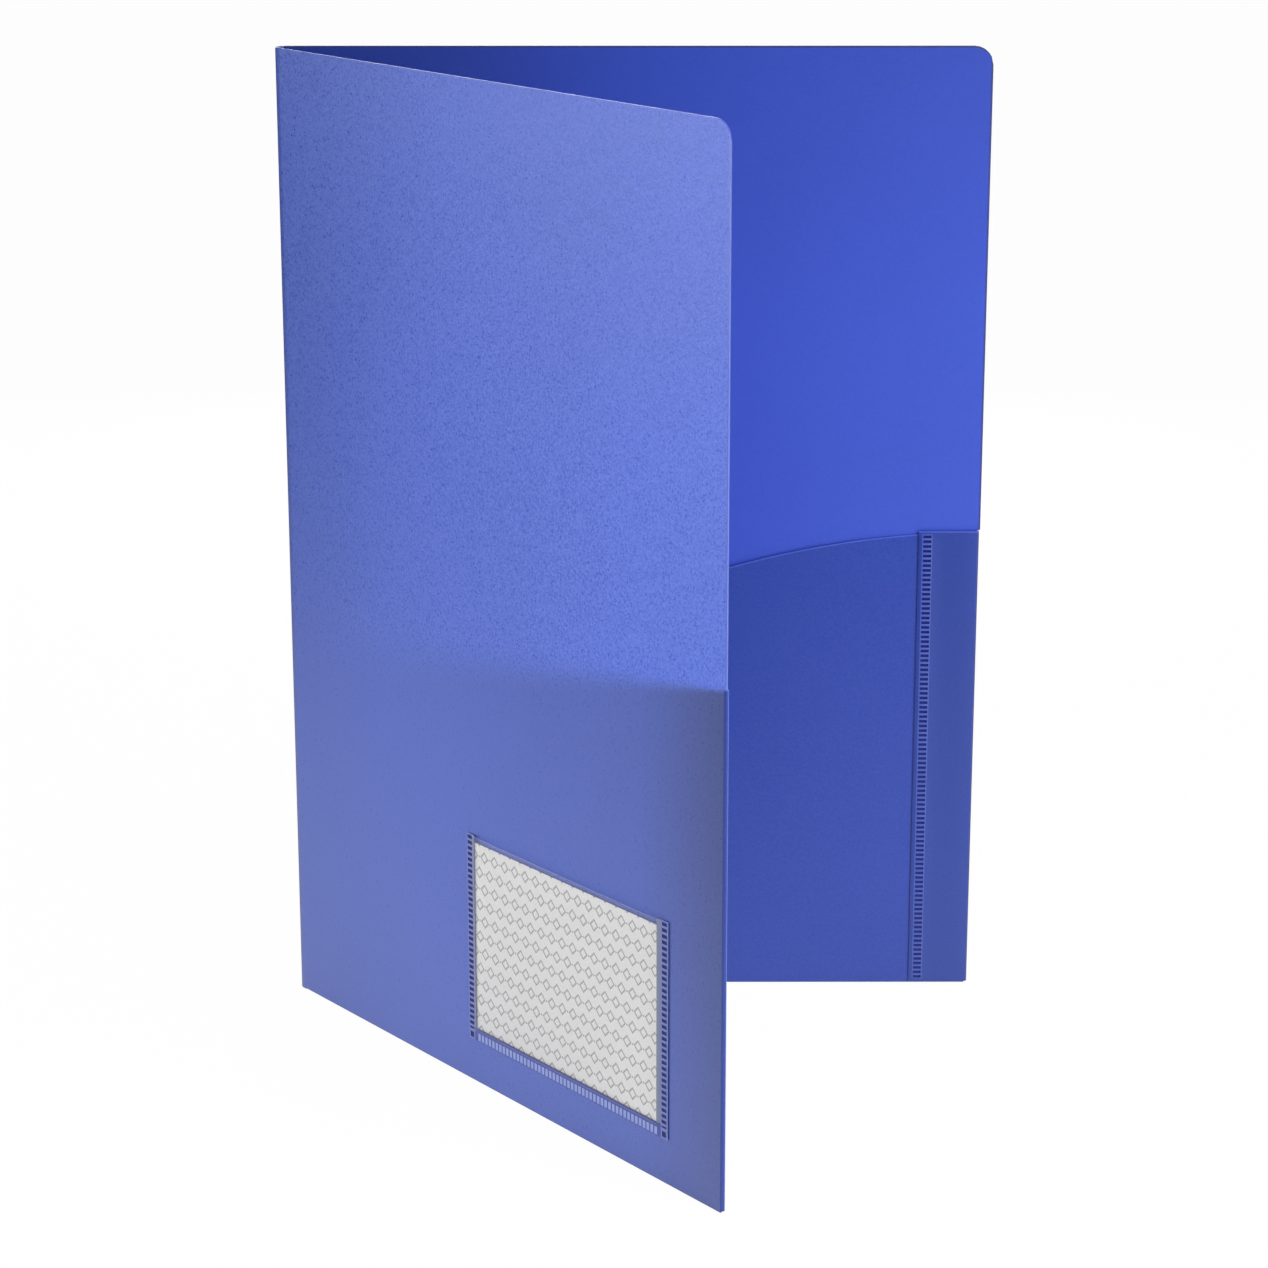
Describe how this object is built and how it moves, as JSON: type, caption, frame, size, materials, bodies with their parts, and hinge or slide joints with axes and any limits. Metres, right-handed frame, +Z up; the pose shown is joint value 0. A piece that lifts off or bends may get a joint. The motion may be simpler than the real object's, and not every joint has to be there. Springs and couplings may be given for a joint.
{
  "type": "presentation folder",
  "caption": "Presentation folder in translucent blue plastic, standing half open, with pockets inside and a clear card pocket on the front.",
  "frame": {"origin": "middle of the footprint, on the surface that the folder stands on", "axes": "+Z up along the spine, +X along the back cover from the spine to its outer edge, -Y towards the viewer, where the front cover's free edge points"},
  "size_m": [0.2224, 0.1776, 0.31],
  "materials": {
    "cover_plastic": "translucent blue polypropylene, with a fine pebble grain on the side that faces out of the blank",
    "clear_film": "clear glossy film",
    "card_stock": "off-white uncoated card"
  },
  "bodies": {
    "back": {"back_cover": "cover_plastic", "back_pocket": "cover_plastic", "back_flap": "cover_plastic"},
    "spine": {"spine": "cover_plastic"},
    "front": {"front_cover": "cover_plastic", "front_pocket": "cover_plastic", "front_flap": "cover_plastic", "card_window": "clear_film", "card_seam_left": "clear_film", "card_seam_right": "clear_film", "card_seam_bottom": "clear_film"},
    "card": {"card": "card_stock"}
  },
  "joints": [
    {"name": "back_crease", "type": "hinge", "parent": "back", "child": "spine", "pos_m": [-0.10909, 0.08852, 0.155], "axis": [0, 0, -1], "range_deg": [-26, 64]},
    {"name": "front_crease", "type": "hinge", "parent": "spine", "child": "front", "pos_m": [-0.11094, 0.08475, 0.155], "axis": [0, 0, -1], "range_deg": [-26, 64]},
    {"name": "card_slide", "type": "slide", "parent": "front", "child": "card", "axis": [0, 0, 1], "range_m": [0, 0.064]}
  ]
}
